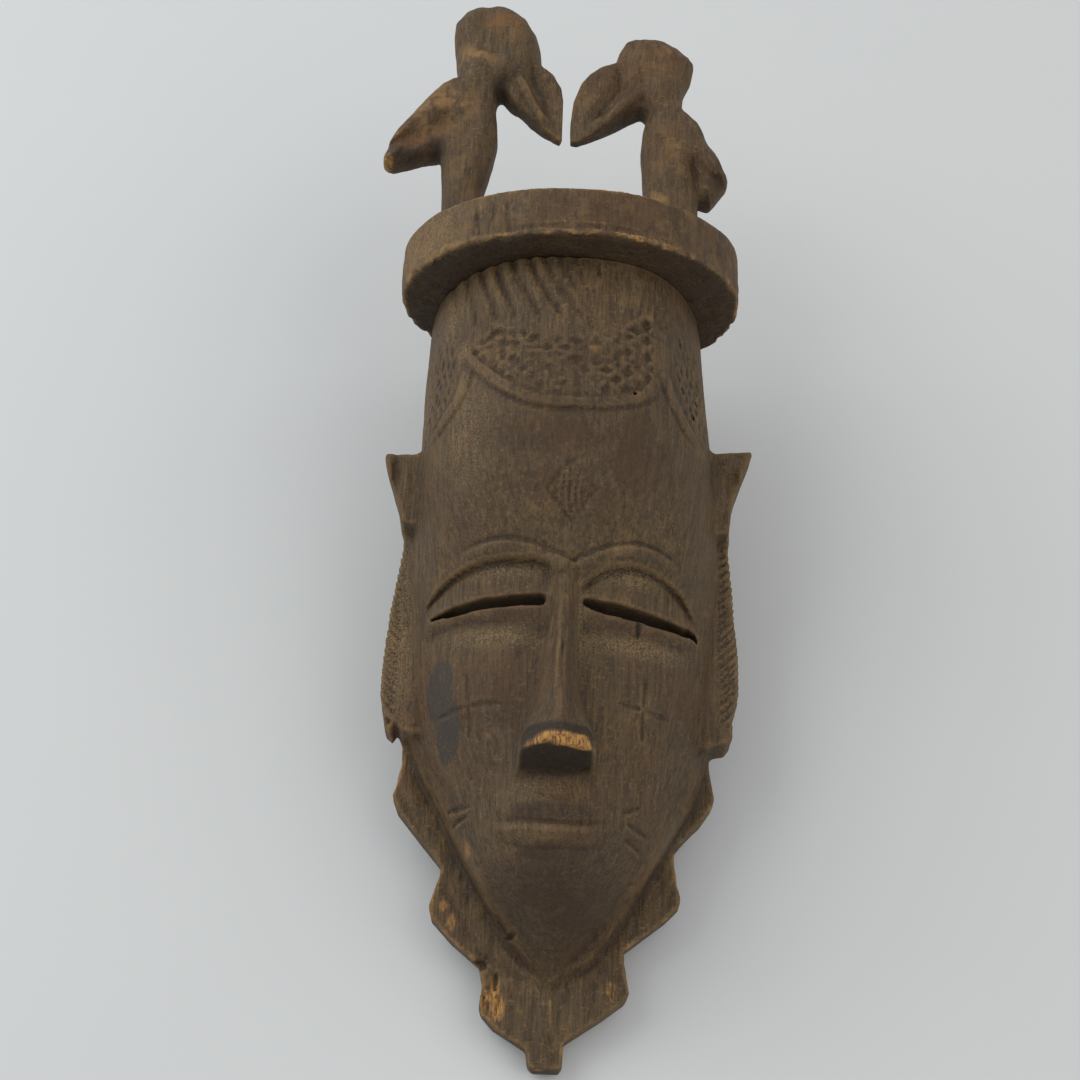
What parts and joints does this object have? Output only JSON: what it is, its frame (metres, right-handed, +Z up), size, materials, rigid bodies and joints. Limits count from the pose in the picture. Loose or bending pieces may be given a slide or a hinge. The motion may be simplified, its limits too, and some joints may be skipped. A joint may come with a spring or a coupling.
{
  "type": "carved wooden mask",
  "caption": "Tall carved wooden wall mask with slit eyes, a scalloped border, ear flaps and a crown disc carrying facing birds; hollow behind the face.",
  "frame": {"origin": "centre of the mouth of the hanging hole, in the plane of the flat back", "axes": "+Z up towards the crown and the birds, +Y out of the back into the wall, +X to the viewer's right; the face looks along -Y"},
  "size_m": [0.1433, 0.093, 0.4106],
  "materials": {
    "mask_wood": "old oiled wood, dark patina with worn edges",
    "crown_wood": "old oiled wood, dark patina with worn edges",
    "bird_wood": "old oiled wood, dark patina with worn edges",
    "peg_wood": "plain turned peg, unstained"
  },
  "bodies": {
    "root": {"mask_body": "mask_wood", "crown_disc": "crown_wood", "bird_left": "bird_wood", "bird_right": "bird_wood", "crown_dowel_left": "peg_wood", "crown_dowel_right": "peg_wood", "bird_left_dowel": "peg_wood", "bird_right_dowel": "peg_wood"}
  },
  "joints": []
}
